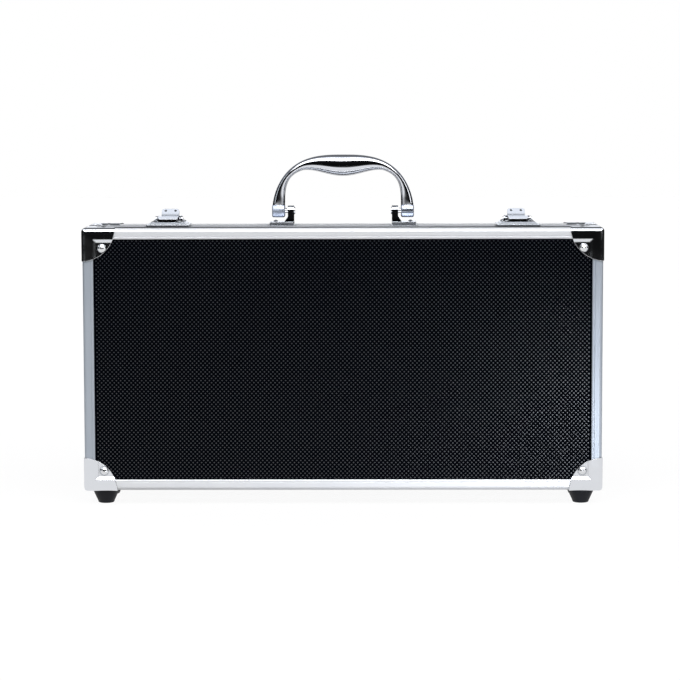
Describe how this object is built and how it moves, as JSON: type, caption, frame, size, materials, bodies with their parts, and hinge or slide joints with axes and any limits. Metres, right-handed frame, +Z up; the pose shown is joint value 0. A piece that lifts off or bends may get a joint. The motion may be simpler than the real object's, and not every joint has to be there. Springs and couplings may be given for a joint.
{
  "type": "makeup case",
  "caption": "Slim hard makeup case with dimpled black panels in an aluminium frame, chromed corners, draw latches, rubber feet and a folding chromed handle; opens about its bottom edge.",
  "frame": {"origin": "on the floor, under the middle of the closed case and its seam", "axes": "+X along the width, +Z up from the feet to the handle, -Y towards the lid (the front shell in the picture)"},
  "size_m": [0.4328, 0.0828, 0.2897],
  "materials": {
    "board": "black dimpled skin with a soft sheen",
    "frame": "satin anodised extrusion",
    "lining": "black short-pile lining",
    "corner": "bright chrome on pressed steel",
    "rivet": "bright nickel",
    "foot": "moulded rubber, matte",
    "hinge": "bright zinc",
    "fitting": "bright chrome on pressed steel",
    "handle": "bright chrome on a casting"
  },
  "bodies": {
    "base": {"base_panel": "board", "base_edge_top": "frame", "base_edge_bottom": "frame", "base_edge_left": "frame", "base_edge_right": "frame", "base_wall_boards": "board", "base_closing_frame": "frame", "base_lining": "lining", "base_corner_top_left": "corner", "base_corner_top_right": "corner", "base_corner_bottom_left": "corner", "base_corner_bottom_right": "corner", "base_corner_rivets": "rivet", "base_foot_left": "foot", "base_foot_right": "foot", "base_foot_screws": "rivet", "base_hinge_leaf_left": "hinge", "base_hinge_leaf_right": "hinge", "base_hardware_rivets": "rivet", "hinge_pins": "hinge", "latch_pins": "rivet", "handle_pins": "rivet", "latch_plate_left": "fitting", "latch_plate_right": "fitting", "handle_bracket_left": "fitting", "handle_bracket_right": "fitting"},
    "lid": {"lid_panel": "board", "lid_edge_top": "frame", "lid_edge_bottom": "frame", "lid_edge_left": "frame", "lid_edge_right": "frame", "lid_wall_boards": "board", "lid_closing_frame": "frame", "lid_lining": "lining", "lid_corner_top_left": "corner", "lid_corner_top_right": "corner", "lid_corner_bottom_left": "corner", "lid_corner_bottom_right": "corner", "lid_corner_rivets": "rivet", "lid_foot_left": "foot", "lid_foot_right": "foot", "lid_foot_screws": "rivet", "lid_hinge_leaf_left": "hinge", "lid_hinge_leaf_right": "hinge", "lid_hardware_rivets": "rivet", "latch_strike_left": "fitting", "latch_strike_right": "fitting"},
    "handle": {"handle": "handle"},
    "lever_left": {"latch_lever_left": "fitting", "hook_pin_left": "rivet"},
    "lever_right": {"latch_lever_right": "fitting", "hook_pin_right": "rivet"},
    "hook_left": {"latch_hook_left": "fitting"},
    "hook_right": {"latch_hook_right": "fitting"}
  },
  "joints": [
    {"name": "lid_hinge", "type": "hinge", "parent": "base", "child": "lid", "pos_m": [0, 0, 0.0098], "axis": [1, 0, 0], "range_deg": [0, 95]},
    {"name": "handle_fold", "type": "hinge", "parent": "base", "child": "handle", "pos_m": [0, 0.0105, 0.2427], "axis": [1, 0, 0], "range_deg": [-90, 90]},
    {"name": "latch_left_lever", "type": "hinge", "parent": "base", "child": "lever_left", "pos_m": [-0.1465, 0.008, 0.236], "axis": [1, 0, 0], "range_deg": [0, 100]},
    {"name": "latch_left_hook", "type": "hinge", "parent": "lever_left", "child": "hook_left", "pos_m": [-0.1465, 0.012, 0.2357], "axis": [1, 0, 0], "range_deg": [-100, 0]},
    {"name": "latch_right_lever", "type": "hinge", "parent": "base", "child": "lever_right", "pos_m": [0.1465, 0.008, 0.236], "axis": [1, 0, 0], "range_deg": [0, 100]},
    {"name": "latch_right_hook", "type": "hinge", "parent": "lever_right", "child": "hook_right", "pos_m": [0.1465, 0.012, 0.2357], "axis": [1, 0, 0], "range_deg": [-100, 0]}
  ],
  "couplings": [
    {"joint": "latch_left_hook", "follows": "latch_left_lever", "ratio": -1},
    {"joint": "latch_right_hook", "follows": "latch_right_lever", "ratio": -1}
  ]
}
